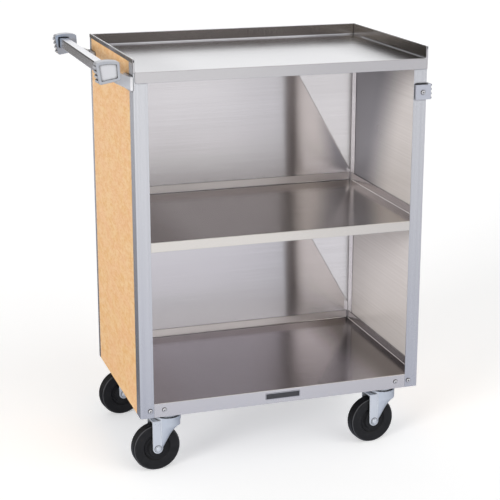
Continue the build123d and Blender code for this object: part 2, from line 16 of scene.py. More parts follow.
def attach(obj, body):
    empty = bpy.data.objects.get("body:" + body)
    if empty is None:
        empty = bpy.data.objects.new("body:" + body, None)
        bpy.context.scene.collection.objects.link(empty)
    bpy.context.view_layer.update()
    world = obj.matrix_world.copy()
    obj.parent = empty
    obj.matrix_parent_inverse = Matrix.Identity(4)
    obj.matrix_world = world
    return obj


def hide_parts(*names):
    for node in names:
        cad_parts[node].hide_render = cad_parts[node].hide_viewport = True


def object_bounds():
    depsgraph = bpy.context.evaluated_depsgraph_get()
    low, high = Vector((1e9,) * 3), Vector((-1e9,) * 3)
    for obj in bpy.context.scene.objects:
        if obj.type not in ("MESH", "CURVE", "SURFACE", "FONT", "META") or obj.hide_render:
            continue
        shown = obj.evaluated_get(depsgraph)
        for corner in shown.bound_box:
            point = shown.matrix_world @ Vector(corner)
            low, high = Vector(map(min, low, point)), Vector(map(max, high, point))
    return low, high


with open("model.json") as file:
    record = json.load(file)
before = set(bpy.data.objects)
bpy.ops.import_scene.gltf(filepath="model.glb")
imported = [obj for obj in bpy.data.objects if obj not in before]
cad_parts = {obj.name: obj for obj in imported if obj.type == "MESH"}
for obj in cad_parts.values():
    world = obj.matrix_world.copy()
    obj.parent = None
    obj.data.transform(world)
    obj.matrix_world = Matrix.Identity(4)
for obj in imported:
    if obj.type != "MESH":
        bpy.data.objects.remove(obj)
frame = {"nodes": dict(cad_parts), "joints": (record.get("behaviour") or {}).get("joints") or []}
nodes = frame["nodes"]
cad_low, cad_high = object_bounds()
cad_size = [round(x, 3) for x in cad_high - cad_low]
print("the cart has", len(nodes), "solid nodes and measures", cad_size, "m")

# %% [markdown]
# ## The camera
# The picture was taken from the left of the open front and from above the top shelf, with a long
# lens, so that upright edges stay almost parallel. The camera stands nearly three metres off, looks a
# little to the right and tips down. It has no lens shift, so it can walk round the cart unchanged.

# %% Stand the camera
camera_place = Vector((-0.903, -2.868, 1.279))
camera_turn = math.radians(17.93)
camera_tip = math.radians(16.03)
lens_length, film_width = 102.4, 36.0

camera = bpy.data.objects.new("camera", bpy.data.cameras.new("camera"))
camera.data.lens = lens_length
camera.data.sensor_width = film_width
camera.location = camera_place
camera.rotation_euler = (math.radians(90) - camera_tip, 0, -camera_turn)
bpy.context.collection.objects.link(camera)
bpy.context.scene.camera = camera
bpy.context.scene.view_settings.view_transform = "Standard"
print("camera", [round(x, 3) for x in camera.location], "m, lens", camera.data.lens, "mm")

# %% [markdown]
# ## Words for shader maths
# A finish is a small graph of nodes. Written as links it is hard to read, so one class wraps a socket:
# plus, minus and times add Math nodes, and its `node` method adds any other node. Settings are set
# first, because some of them change which sockets a node has.


# %% Wrap a socket
class Value:
    """A socket of a node tree; arithmetic on it adds Math nodes to the tree."""

    def __init__(self, tree, socket=None):
        self.tree = tree
        self.socket = socket

    def node(self, kind, settings=None, sockets=None, out=0):
        """Adds a node of this kind and returns one of its outputs, or nothing if it has none."""
        made = self.tree.nodes.new(kind)
        for name, value in (settings or {}).items():
            if name == "stops":
                set_stops(made.color_ramp, value)
            else:
                setattr(made, name, value)
        for name, value in (sockets or {}).items():
            self.feed(made.inputs[name], value)
        return Value(self.tree, made.outputs[out]) if made.outputs else None

    def feed(self, socket, value):
        """Links a Value to a socket, or sets the socket to a plain number, colour or vector."""
        if isinstance(value, Value):
            self.tree.links.new(value.socket, socket)
        else:
            socket.default_value = value

    def math(self, operation, first, second):
        return self.node("ShaderNodeMath", {"operation": operation}, {0: first, 1: second})

    def __add__(self, other):
        return self.math("ADD", self, other)

    def __sub__(self, other):
        return self.math("SUBTRACT", self, other)

    def __rsub__(self, other):
        return self.math("SUBTRACT", other, self)

    def __mul__(self, other):
        return self.math("MULTIPLY", self, other)

    __radd__ = __add__
    __rmul__ = __mul__


def set_stops(ramp, stops):
    """Gives a colour ramp its stops, each a place from 0 to 1 and a colour."""
    while len(ramp.elements) < len(stops):
        ramp.elements.new(0.5)
    for element, (place, colour) in zip(ramp.elements, stops):
        element.position = place
        element.color = colour


print("a Value has", [name for name in vars(Value) if not name.startswith("_")])

# %% [markdown]
# ## The studio
# The cart stands on a plain white floor before a white surround. The lamps are soft and at a plain
# level, so a colour renders about as it is written. The surround and the floor are white where the
# camera looks at them, and dimmer as a source of light, so that the white never comes from more light
# on the cart. The floor still takes the cart's shadow.

# %% Light the surround
white = (1.0, 1.0, 1.0, 1.0)
sky_level = 0.45


def ray(root, kind):
    """One where a ray of this kind looks, nought for other rays."""
    return root.node("ShaderNodeLightPath", out=f"Is {kind} Ray")


world = bpy.data.worlds.new("studio")
world.use_nodes = True
world.node_tree.nodes.clear()
bpy.context.scene.world = world
sky = Value(world.node_tree)
looked_at = ray(sky, "Camera")
for kind in ("Glossy", "Transmission"):
    looked_at = sky.math("MAXIMUM", looked_at, ray(sky, kind))
dim = sky.node("ShaderNodeBackground", None, {"Color": white, "Strength": sky_level})
full = sky.node("ShaderNodeBackground", None, {"Color": white, "Strength": 1.0})
surround = sky.node("ShaderNodeMixShader", None, {0: looked_at, 1: dim, 2: full})
sky.node("ShaderNodeOutputWorld", None, {"Surface": surround})
print("surround: white to look at, a light of", sky_level)

# %% [markdown]
# Three words about colour come back in every finish: a blend of two colours, a smooth step from one
# value to another, and a row of colours along a value. Colours are written as they are read off a
# screen and turned to linear light, which is what shaders work in.


# %% Blend colours
def rgb(red, green, blue):
    """A colour as read off a screen, 0 to 255, turned to the linear light that shaders use."""
    parts = [c / 255 for c in (red, green, blue)]
    return (*[c / 12.92 if c <= 0.04045 else ((c + 0.055) / 1.055) ** 2.4 for c in parts], 1.0)


def mix(root, factor, first, second):
    """A colour between two colours."""
    sockets = {0: factor, 6: first, 7: second}
    return root.node("ShaderNodeMix", {"data_type": "RGBA"}, sockets, out=2)


def span(root, value, low, high):
    """A smooth step from nought at low to one at high."""
    sockets = {"Value": value, "From Min": low, "From Max": high}
    return root.node("ShaderNodeMapRange", {"interpolation_type": "SMOOTHSTEP"}, sockets)


def ramp(root, value, low, high, stops):
    """A colour along stops, each at a value between low and high."""
    places = [((at - low) / (high - low), colour) for at, colour in stops]
    share = (value - low) * (1 / (high - low))
    return root.node("ShaderNodeValToRGB", {"stops": places}, {"Fac": share})


print("a middle grey of 128 is", round(rgb(128, 128, 128)[0], 3), "in linear light")

# %% [markdown] The floor and the cards of the studio are flat sheets.


# %% Cut a studio sheet
def sheet_object(name, width, height, turn, place, paint):
    """A flat sheet of the studio: a grid scaled, turned about the X axis and put in its place."""
    shape = bmesh.new()
    bmesh.ops.create_grid(shape, x_segments=1, y_segments=1, size=0.5)
    bmesh.ops.scale(shape, vec=(width, height, 1.0), verts=shape.verts)
    bmesh.ops.rotate(shape, matrix=Matrix.Rotation(math.radians(turn), 3, "X"), verts=shape.verts)
    bmesh.ops.translate(shape, vec=place, verts=shape.verts)
    mesh = bpy.data.meshes.new(name)
    shape.to_mesh(mesh)
    shape.free()
    sheet = bpy.data.objects.new(name, mesh)
    sheet.data.materials.append(paint)
    bpy.context.collection.objects.link(sheet)
    print(name, "is", width, "by", height, "m")
    return sheet


def stage_paint(name):
    """An empty material for the studio and the root for its nodes."""
    paint = bpy.data.materials.new(name)
    paint.use_nodes = True
    paint.node_tree.nodes.clear()
    return paint, Value(paint.node_tree)


print("ready to cut studio sheets and to mix their paint")

# %% [markdown]
# Brushed steel has hardly a colour of its own: it shows the floor before it. A real floor falls off
# towards the cart that stands on it, and the posts show that as a slow change from top to bottom. So
# the floor that reflections see is white far away and a cool grey close by, duller on the right and
# duller still behind the cart.

# %% Lay the floor
floor_size, floor_far = 40.0, 6.0
floor_glow = 0.415
floor_matt = (0.85, 0.85, 0.85, 1.0)
floor_front = [
    (0.3, rgb(178, 182, 196)), (0.8, rgb(206, 208, 218)),
    (2.0, rgb(228, 228, 232)), (5.5, white)]
floor_behind = [
    (0.3, rgb(84, 84, 90)), (0.8, rgb(112, 112, 118)),
    (2.0, rgb(156, 156, 162)), (5.5, rgb(206, 206, 210))]
floor_right, right_share, right_slant = rgb(150, 152, 164), 0.35, 0.31

floor_paint, root = stage_paint("white_floor")
place = root.node("ShaderNodeTexCoord", out="Object")
reach = root.node("ShaderNodeVectorMath", {"operation": "LENGTH"}, {0: place}, out="Value")
sideways = root.node("ShaderNodeSeparateXYZ", None, {0: place}, out="X")
depth = root.node("ShaderNodeSeparateXYZ", None, {0: place}, out="Y")
to_right = span(root, sideways + depth * right_slant, -0.15, 0.4) * right_share
before = mix(root, to_right, ramp(root, reach, 0.0, floor_far, floor_front), floor_right)
behind = ramp(root, reach, 0.0, floor_far, floor_behind)
tone = mix(root, span(root, depth, -0.3, 0.4), before, behind)
mirrored = root.node("ShaderNodeEmission", None, {"Color": tone})
matt = root.node("ShaderNodeBsdfDiffuse", None, {"Color": floor_matt})
seen = ray(root, "Camera") * floor_glow
glow = root.node("ShaderNodeEmission", None, {"Color": white, "Strength": seen})
plain = root.node("ShaderNodeAddShader", None, {0: matt, 1: glow})
surface = root.node("ShaderNodeMixShader", None, {0: ray(root, "Glossy"), 1: plain, 2: mirrored})
root.node("ShaderNodeOutputMaterial", None, {"Surface": surface})
sheet_object("floor", floor_size, floor_size, 0, (0, 0, 0), floor_paint)

# %% [markdown]
# The key light comes in low from the left, through the open front, and leaves the upper rear of each
# bay's right wall in the shade of the shelf above. A weaker, softer light from the right fills the left
# wall and the shadows. Suns are used, because their light falls off nowhere, so the floor stays even;
# reflections don't see them.


# %% Hang the lamps
def soft_sun(name, source, strength, softness):
    """Broad parallel light from a direction, as soft as a disc of so many degrees."""
    lamp = bpy.data.objects.new(name, bpy.data.lights.new(name, "SUN"))
    lamp.data.energy = strength
    lamp.data.angle = math.radians(softness)
    lamp.rotation_euler = (-Vector(source)).to_track_quat("-Z", "Y").to_euler()
    lamp.visible_glossy = False
    bpy.context.collection.objects.link(lamp)


soft_sun("key_left", (-0.8, -0.55, 0.24), 1.9, 24)
soft_sun("fill_right", (0.6, -0.9, 0.7), 0.8, 60)
print("studio: a floor, a surround and", len(bpy.data.lights), "soft lamps")

# %% [markdown]
# White all round would leave the steel flat. Three grey cards, seen by reflections alone, give the
# shelves and the tray's rim their depth: a low dark one behind the camera, a paler one above it on the
# right, and one behind the cart on the left.


# %% Hang the cards
def grey_card(name, width, height, place, tones):
    """An upright card that only reflections see, with a tone for each of a few heights."""
    paint, root = stage_paint(name)
    here = root.node("ShaderNodeTexCoord", out="Object")
    level = root.node("ShaderNodeSeparateXYZ", None, {0: here}, out="Z")
    tone = ramp(root, level, 0.0, card_top, tones)
    shade = root.node("ShaderNodeEmission", None, {"Color": tone})
    root.node("ShaderNodeOutputMaterial", None, {"Surface": shade})
    card = sheet_object(name, width, height, 90, place, paint)
    for kind in ("camera", "diffuse", "transmission", "volume_scatter", "shadow"):
        setattr(card, f"visible_{kind}", False)


card_top = 5.0
low_tones = [(1.0, rgb(54, 51, 47)), (1.6, rgb(68, 64, 60))]
high_tones = [(1.6, rgb(118, 114, 116)), (1.9, rgb(160, 155, 158)), (2.6, rgb(184, 180, 184))]
back_tones = [
    (0.1, rgb(136, 134, 132)), (0.8, rgb(116, 113, 110)), (1.5, rgb(66, 63, 60)),
    (2.4, rgb(64, 61, 58)), (4.0, rgb(120, 118, 116))]
grey_card("low_card", 12.0, 0.62, (0.0, -4.5, 1.31), low_tones)
grey_card("high_card", 6.8, 3.8, (2.6, -4.5, 3.52), high_tones)
grey_card("back_card", 5.4, 4.0, (-2.9, 4.5, 2.1), back_tones)

# %% [markdown]
# ## Words for finishes
# Every finish starts in the same way: a material with its shader, some noise, and a way to say where on
# the cart a point lies. Noise and places are read in Object coordinates, which for every piece are the
# cart's own, so a pattern runs on over neighbouring pieces and stays with a piece that turns.


# %% Begin a finish
def begin(name, **plain):
    """A new material: its root for nodes and its shader, with these plain socket values."""
    material = bpy.data.materials.new(name)
    material.use_nodes = True
    shader = material.node_tree.nodes["Principled BSDF"]
    for socket, value in plain.items():
        shader.inputs[socket.replace("_", " ")].default_value = value
    return material, Value(material.node_tree), shader


def noise(root, stretch=(1, 1, 1), scale=1.0, detail=3.0, distortion=0.0):
    """Noise in the cart's own coordinates, squeezed by a factor along each axis."""
    here = root.node("ShaderNodeTexCoord", out="Object")
    where = root.node("ShaderNodeMapping", None, {"Vector": here, "Scale": stretch})
    sockets = {"Vector": where, "Scale": scale, "Detail": detail, "Distortion": distortion}
    return root.node("ShaderNodeTexNoise", None, sockets)


def along(root, axis):
    """How far along one of the cart's axes a point lies."""
    here = root.node("ShaderNodeTexCoord", out="Object")
    return root.node("ShaderNodeSeparateXYZ", None, {0: here}, out=axis)


def off_middle(root):
    """How far a point lies from the middle of the cart's body, to either side."""
    return root.math("ABSOLUTE", along(root, "X") - middle_x, 0.0)


middle_x = 0.0332
print("the body's middle lies", middle_x, "m to the right of the frame's")

# %% [markdown]
# Where sheets meet, a thin dark line of painted shade is laid, and every cut edge is a little rounded:
# Ambient Occlusion finds the first, the Bevel node gives the second. A finish can also have marks,
# places with a shade and a roughness of their own. The first helper blends them in, one after the
# other.


# %% Marks, seams and edges
def lay_marks(root, colour, rough, marks):
    """A colour and a roughness with marks: each a way to find it, a shade, an added roughness."""
    for find, shade, rougher in marks:
        found = find(root)
        colour = mix(root, found, colour, shade)
        rough = rough + found * rougher
    return colour, rough


def crevice(root, colour, shadow, reach):
    """A colour that darkens to a shadow where another face is closer than the reach."""
    sockets = {"Distance": reach}
    open_air = root.node("ShaderNodeAmbientOcclusion", {"samples": 6}, sockets, out="AO")
    return mix(root, span(root, open_air, 0.4, 0.95), shadow, colour)


def skin(root, height, depth, round_by, lean=(0, 0, 0)):
    """A normal with rounded edges, leant by a little, and a fine relief from a height."""
    edge = root.node("ShaderNodeBevel", {"samples": 4}, {"Radius": round_by})
    leant = root.node("ShaderNodeVectorMath", {"operation": "ADD"}, {0: edge, 1: lean})
    sockets = {"Strength": depth, "Distance": relief, "Height": height, "Normal": leant}
    return root.node("ShaderNodeBump", None, sockets)


relief = 0.0003
# The colour that painted shade darkens to, in seams and as a shadow ring round the axles.
painted_shade = rgb(46, 43, 41)
print("a skin is up to", relief * 1000, "mm deep")

# %% [markdown]
# ## Brushed steel
# Stainless sheet is brushed in one direction. Close up that is a bundle of fine scratches, which
# stretch a reflection across the brush; from a step away it is a satin grey with faint streaks. Noise
# squeezed in two directions gives the streaks, a large soft noise makes the sheet a little uneven.


# %% Brush the steel
def brushed_steel(
    name, grain, shades, roughness, marks=(), lean=(0, 0, 0), depth=0.03, reach=0.005, **plain
):
    """Steel sheet brushed along the axis named grain, between two shades, with marks and a lean."""
    material, root, shader = begin(name, **plain)
    stretch = [brush_long if axis == grain else brush_fine for axis in "XYZ"]
    streak = noise(root, stretch, 1.0, 4.0)
    cloud = noise(root, (1, 1, 1), 4.0, 3.0)
    sheet = mix(root, span(root, streak, 0.25, 0.75) * 0.7 + cloud * 0.3, *shades)
    rough = cloud * 0.08 + (roughness - 0.04)
    sheet, rough = lay_marks(root, sheet, rough, marks)
    # Painted shade: the colour darkens in seams, where other faces come close.
    root.feed(shader.inputs["Base Color"], crevice(root, sheet, painted_shade, reach))
    root.feed(shader.inputs["Roughness"], rough)
    tilt = lean(root) if callable(lean) else lean
    root.feed(shader.inputs["Normal"], skin(root, streak, depth, sheet_round, tilt))
    print(name, "is brushed along", grain)
    return material


brush_fine, brush_long = 260.0, 1.5
sheet_round = 0.0008
stroke = round(1000 / brush_fine, 1), round(1000 / brush_long)
print("a brush stroke is about", stroke[0], "mm wide and", stroke[1], "mm long")

# %% [markdown]
# A shelf is one bent sheet, and its bends show. The front lip is painted brighter than the tray, as a
# painted reflection, the upturns are painted with the light and shade that the walls give them, and
# each
# bend has a painted highlight, a fine bright line. These places are found by where they lie on the
# cart:
# in front of a depth, above a level, beyond a width.


# %% Find the bends of a shelf
def lip(root):
    """The face at the very front."""
    return span(root, along(root, "Y"), -0.1990, -0.2008)


def above(low, high=9.0):
    """A mark for what lies between two levels."""
    def find(root):
        level = along(root, "Z")
        return span(root, level, low, low + fade) * span(root, level, high, high - fade)
    return find


def side_upturn(level):
    """A mark for the upturns at a shelf's two ends, above a level."""
    def find(root):
        return above(level)(root) * span(root, off_middle(root), upturn_width, upturn_width + 0.001)
    return find


def back_upturn(level):
    """A mark for the upturn at a shelf's back, above a level."""
    def find(root):
        return above(level)(root) * span(root, along(root, "Y"), upturn_depth, upturn_depth + 0.001)
    return find


def tray_end(side):
    """A mark for one end of a shelf, -1 for left and 1 for right, stronger towards the wall."""
    def find(root):
        return span(root, (along(root, "X") - middle_x) * side, 0.15, 0.26)
    return find


fade = 0.0004
upturn_width, upturn_depth = 0.300, 0.198
print("upturns stand", upturn_width, "m to each side and", upturn_depth, "m back")

# %% [markdown]
# The two lower shelves are alike, but the middle one's tones are painted darker than the bottom one's,
# as shade. Their flat trays are painted darker towards the ends, as shade from the walls, and their
# upturns open a little above the bend: they lean, so they mirror brighter things than an upright sheet
# would. A lean of the normal shows that without a change of shape.


# %% Make the lower shelves' steel
def upturn_lean(level):
    """The lean of a shelf's upturns above their bend."""
    def find(root):
        raised = span(root, along(root, "Z"), level + 0.0012, level + 0.0040)
        sockets = {0: (0, 0, upturn_open), "Scale": raised}
        return root.node("ShaderNodeVectorMath", {"operation": "SCALE"}, sockets)
    return find


def shelf_steel(name, shades, level, lip_painted_light, upturn_painted_shade, left_end_painted_shade, right_end_painted_shade):
    """The steel of a shelf whose tray lies at a level."""
    # Painted light and shade: the tray's ends and the upturns are painted with shade, the bend with a
    # highlight and the lip with a brighter reflection.
    marks = [
        (tray_end(-1), left_end_painted_shade, 0.0),
        (tray_end(1), right_end_painted_shade, 0.0),
        (side_upturn(level + 0.0016), upturn_painted_shade, 0.0),
        (back_upturn(level + 0.0016), rgb(222, 215, 213), 0.12),
        (above(level + 0.0002, level + 0.0020), rgb(255, 253, 250), 0.0),
        (lip, lip_painted_light, 0.04),
    ]
    return brushed_steel(
        name, "X", shades, shelf_rough, marks, lean=upturn_lean(level), reach=0.001, Metallic=1.0)


upturn_open, shelf_rough = 0.14, 0.17
middle_level, bottom_level = 0.506, 0.160
# The middle shelf's tones are painted darker than the bottom shelf's, as shade.
steel_middle = shelf_steel(
    "steel_middle_shelf", (rgb(194, 189, 182), rgb(208, 203, 197)), middle_level,
    rgb(250, 245, 237), rgb(214, 208, 210), rgb(160, 152, 145), rgb(172, 164, 155))
steel_bottom = shelf_steel(
    "steel_bottom_shelf", (rgb(216, 212, 217), rgb(230, 226, 231)), bottom_level,
    rgb(252, 248, 245), rgb(180, 175, 178), rgb(212, 206, 209), rgb(122, 115, 111))

# %% [markdown]
# The top shelf is a tray with a hemmed rim on three sides. The tray is painted darker towards its ends,
# as shade. The rim's inner faces are painted darker than the tray and its outer faces at the ends
# darker still, as shade; the hem on top is a painted highlight, a bright line, and the lip has a
# painted tone of its own for what it mirrors.


# %% Make the top tray's steel
def rim_outside(root):
    """The outer faces of the tray's rim at its two ends."""
    return above(0.8510)(root) * span(root, off_middle(root), 0.3100, 0.3104)


rim_foot, hem_level = 0.853, 0.8742
# Painted light and shade: the tray's ends and the rim are painted darker as shade, the hem with a
# highlight and the lip with a tone for what it mirrors.
tray_marks = [
    (tray_end(-1), rgb(202, 202, 206), 0.0),
    (tray_end(1), rgb(186, 186, 190), 0.0),
    (above(rim_foot), rgb(186, 180, 174), 0.0),
    (rim_outside, rgb(150, 145, 140), 0.0),
    (above(hem_level), rgb(250, 250, 252), 0.1),
    (lip, rgb(214, 212, 214), 0.04),
]
tray_shades = rgb(216, 216, 219), rgb(230, 230, 234)
steel_top = brushed_steel(
    "steel_top", "X", tray_shades, shelf_rough, tray_marks, reach=0.003, Metallic=1.0)

# %% [markdown]
# The back wall is a thin wide sheet, and such a sheet is seldom quite flat. Here it is taken to bow at
# its right end, where a bright wedge starts at each bay's lower corner and widens towards the top, and
# to lean up a little in the lower bay and at the foot of both. The eye sees this only in what the sheet
# mirrors, so the wall keeps its flat solid and its normal leans. The brush runs from side to side and
# draws reflections out up and down, which is what the shader's anisotropy does.


# %% Make the back wall's steel
def wall_bow(root):
    """The lean of the back wall: aside in a wedge in each bay, up in the lower bay and at the feet."""
    aside, level = along(root, "X"), along(root, "Z")
    wedge = 0.0
    for low, high in bays:
        slant = aside + (level - low) * bow_slope - bow_edge
        wedge = span(root, slant, -0.003, 0.004) * above(low, high)(root) + wedge
    lower_foot, upper_foot = [span(root, level, low + foot_rise, low) for low, high in bays]
    foot = upper_foot * above(upper_floor)(root) + lower_foot
    lower_bay = span(root, level, 0.502, 0.498)
    upward = wedge * (bow_lean * 0.2) + lower_bay * bow_up + foot * bow_foot
    return root.node("ShaderNodeCombineXYZ", None, {"X": wedge * -bow_lean, "Z": upward})


bays = (0.20, 0.50), (0.53, 0.83)
foot_rise, upper_floor = 0.15, 0.504
bow_edge, bow_slope = 0.337, 0.55
bow_lean, bow_up, bow_foot = 0.22, 0.035, 0.05
across = {"Anisotropic": 1.0, "Anisotropic_Rotation": 0.25}
steel_back = brushed_steel(
    "steel_back_wall", "X", (rgb(238, 234, 236), rgb(246, 243, 245)), 0.175,
    lean=wall_bow, depth=0.005, reach=0.0015, Metallic=0.95, **across)

# %% [markdown]
# The side walls are brushed from front to back and painted darker towards the rear of the upper bay, as
# shade. The posts and channels are brushed upwards. A front post's rear face is painted dark, as shade:
# it shows only as a dark band, mirrored in the back wall. Marks are enough for both, as for the
# shelves.


# %% Make the side walls' and the posts' steel
def wall_rear(root):
    """The rear of a side wall in the upper bay, behind a slanting line."""
    slant = along(root, "Y") + (along(root, "Z") - 0.83) * 0.35
    return span(root, slant, -0.14, 0.03) * above(0.51)(root)


def post_rear(root):
    """The rear face of a front post's front leg."""
    depth = along(root, "Y")
    behind_face = span(root, depth, -0.2006, -0.2004) * span(root, depth, -0.1985, -0.1990)
    return behind_face * span(root, off_middle(root), 0.3092, 0.3088)


# The rear of the side walls in the upper bay is painted darker, as shade.
steel_side = brushed_steel(
    "steel_side_walls", "Y", (rgb(235, 227, 222), rgb(250, 243, 239)), 0.26,
    [(wall_rear, rgb(148, 145, 152), 0.0)], lean=(0, 0.05, 0), Metallic=0.2)
# A front post's rear face is painted dark, as shade.
steel_up = brushed_steel(
    "steel_uprights", "Z", (rgb(222, 223, 228), rgb(232, 233, 237)), 0.26,
    [(post_rear, rgb(166, 161, 161), 0.1)], Metallic=0.95)

# %% [markdown]
# ## The light wood laminate
# The ends and the back are faced with a printed laminate in a pale maple. Its figure is quiet and lies
# across the sheet: soft ripples, as in curly maple, over short grain lines, darker and lighter, under a
# thin satin coat. Three noises of different size and stretch are enough, because the print has no long
# grain and no knots.

# %% Make the laminate
laminate, root, shader = begin("maple_laminate", Roughness=0.42, Specular_IOR_Level=0.25)
ripple = noise(root, (0.45, 0.45, 1), 85.0, 3.0, 0.6)
drift = noise(root, (0.45, 0.45, 1), 24.0, 3.0)
fleck = noise(root, (0.30, 0.30, 1), 330.0, 2.0)
tan = mix(root, span(root, ripple, 0.30, 0.68), rgb(238, 186, 121), rgb(247, 207, 157))
tan = mix(root, span(root, drift, 0.36, 0.66) * 0.45, tan, rgb(245, 191, 148))
tan = mix(root, span(root, fleck, 0.54, 0.68) * 0.5, tan, rgb(228, 172, 112))
tan = mix(root, span(root, fleck, 0.46, 0.32) * 0.5, tan, rgb(251, 218, 170))
# Painted shade: the laminate darkens in its corners, where other faces come close.
root.feed(shader.inputs["Base Color"], crevice(root, tan, rgb(120, 84, 52), 0.003))
root.feed(shader.inputs["Roughness"], ripple * 0.1 + fleck * 0.06 + 0.36)
root.feed(shader.inputs["Normal"], skin(root, fleck, 0.02, 0.0004))
print("laminate:", laminate.name)

# %% [markdown]
# ## Zinc and bright metal
# The casters are zinc plated: a cool, almost white metal with a faint cloudiness. The bar is polished,
# the bumper clips are a little darker. One recipe serves them all: a cloudy tone, and a fine grain that
# roughens the skin.


# %% Make zinc and bright metal
def plain_metal(
    name, shades, roughness, grain_scale, grain_depth, marks=(), press=None, nearest=0.006, **plain
):
    """A metal with a cloudy tone, a fine skin and marks; a press gives it the bump of a step."""
    material, root, shader = begin(name, **plain)
    cloud = noise(root, (1, 1, 1), 40.0, 4.0)
    grain = noise(root, (1, 1, 1), grain_scale, 2.0)
    rough = cloud * 0.08 + grain * 0.06 + (roughness - 0.07)
    metal, rough = lay_marks(root, mix(root, cloud, *shades), rough, marks)
    # Painted shade: the colour darkens in crevices, where other faces come close.
    root.feed(shader.inputs["Base Color"], crevice(root, metal, painted_shade, nearest))
    root.feed(shader.inputs["Roughness"], rough)
    normal = skin(root, grain, grain_depth, metal_round)
    if press:
        sockets = {"Strength": 1.0, "Distance": press_step, "Height": press(root), "Normal": normal}
        normal = root.node("ShaderNodeBump", None, sockets)
    root.feed(shader.inputs["Normal"], normal)
    print(name, "has", len(marks), "marks")
    return material


metal_round, press_step = 0.0006, 0.001
zinc_shades = rgb(226, 232, 240), rgb(240, 244, 250)
bright_shades = rgb(228, 228, 233), rgb(236, 236, 240)
clip_shades = rgb(200, 203, 214), rgb(212, 215, 226)
zinc = plain_metal("zinc_plate", zinc_shades, 0.3, 700.0, 0.04, Metallic=0.55)
bright = plain_metal("bright_metal", bright_shades, 0.2, 900.0, 0.01, Metallic=1.0)
clip_plate = plain_metal("clip_plate", clip_shades, 0.34, 700.0, 0.05, Metallic=0.7)

# %% [markdown]
# ## The cast brackets
# The handle brackets are cast and tumbled, so they are satin with a fine pebbled skin. Each head has a
# frame round a plain pale field, and its side that faces the bar is painted a little darker, as shade.
# The end face of the foot, where it laps the cart's corner, carries a painted highlight.


# %% Make the casting
def outward(low, high):
    """A mark for what lies between two distances from the cart's middle, to front or back."""
    def find(root):
        out = root.math("ABSOLUTE", along(root, "Y"), 0.0)
        return span(root, out, low, low + 0.0002) * span(root, out, high, high - 0.0002)
    return find


def foot_end(root):
    """The end face of a bracket's foot, where it laps the cart's corner."""
    return outward(0.2008, 0.2030)(root) * span(root, along(root, "X"), -0.2836, -0.2830)


def head_inside(root):
    """The side of a bracket's head that faces the bar."""
    return outward(0.1980, 0.2000)(root) * span(root, along(root, "X"), -0.3055, -0.3065)


head_frame, head_field = outward(0.2212, 0.9), outward(0.2202, 0.2208)
# The foot's end carries a painted highlight, and the head's side towards the bar is painted darker as
# shade.
head_marks = [
    (head_frame, rgb(188, 191, 198), 0.0),
    (head_field, rgb(226, 227, 231), 0.1),
    (foot_end, rgb(252, 252, 254), 0.0),
    (head_inside, rgb(164, 176, 194), 0.0),
]
cast_shades = rgb(196, 198, 204), rgb(212, 213, 218)
casting = plain_metal("cast_bracket", cast_shades, 0.36, 1100.0, 0.04, head_marks, Metallic=0.4)

# %% [markdown]
# ## Rubber, vinyl and nylon
# The bumper strip is grey vinyl, the pads in its clips black rubber, a dark piece put there as the
# shade inside the clips, the hub bearings pale nylon. All are moulded, with a fine mottle between two
# near shades.


# %% Make the dull finishes
def dull(name, dark, light, roughness, scale, depth, shine=0.4):
    """A moulded plastic or rubber: two shades in a fine mottle, with a faint skin."""
    material, root, shader = begin(name, Specular_IOR_Level=shine)
    mottle = noise(root, (1, 1, 1), scale, 5.0)
    root.feed(shader.inputs["Base Color"], mix(root, mottle, dark, light))
    root.feed(shader.inputs["Roughness"], mottle * 0.2 + (roughness - 0.1))
    root.feed(shader.inputs["Normal"], skin(root, mottle, depth, mould_round))
    return material


mould_round = 0.001
# The pads are painted black as the shade inside the bumper's clips.
pad_rubber = dull("pad_rubber", rgb(24, 24, 26), rgb(40, 40, 43), 0.6, 300.0, 0.2)
vinyl = dull("bumper_vinyl", rgb(150, 154, 164), rgb(170, 174, 184), 0.5, 200.0, 0.1)
nylon = dull("bearing_nylon", rgb(214, 212, 204), rgb(228, 226, 220), 0.45, 150.0, 0.05)
print("dull finishes:", [m.name for m in (pad_rubber, vinyl, nylon)])

# %% [markdown]
# ## The label plate
# A small blank plate sits in the middle of the bottom lip: a dark field inside a raised bright border.
# The two are told apart by how far forward they stand, so one material paints both.

# %% Make the label plate
label, root, shader = begin("label_plate", Roughness=0.35)
speck = noise(root, (1, 1, 1), 250.0, 3.0)
raised = span(root, along(root, "Y"), -0.2023, -0.2025)
field = mix(root, speck, rgb(46, 46, 50), rgb(74, 74, 78))
border = mix(root, speck, rgb(206, 206, 210), rgb(222, 222, 226))
root.feed(shader.inputs["Base Color"], mix(root, raised, field, border))
root.feed(shader.inputs["Metallic"], raised * 0.9)
root.feed(shader.inputs["Roughness"], speck * 0.1 + 0.28)
print("label:", label.name)

# %% [markdown]
# ## Wheels
# A wheel is turned from one piece of hard rubber. Its tread is black and clean, its cheeks are greyer
# with dust, and the sharp shoulder between them is a thin pale line, partly scuff and partly a painted
# highlight. All this follows the distance from the wheel's own axle, so each corner has its own rubber,
# and the marks turn with it.


# %% Make the wheel rubber
def from_axle(root, centre, axle):
    """How far a point lies from an axle."""
    here = root.node("ShaderNodeTexCoord", out="Object")
    arm = root.node("ShaderNodeVectorMath", {"operation": "SUBTRACT"}, {0: here, 1: centre})
    around = root.node("ShaderNodeVectorMath", {"operation": "CROSS_PRODUCT"}, {0: arm, 1: axle})
    return root.node("ShaderNodeVectorMath", {"operation": "LENGTH"}, {0: around}, out="Value")


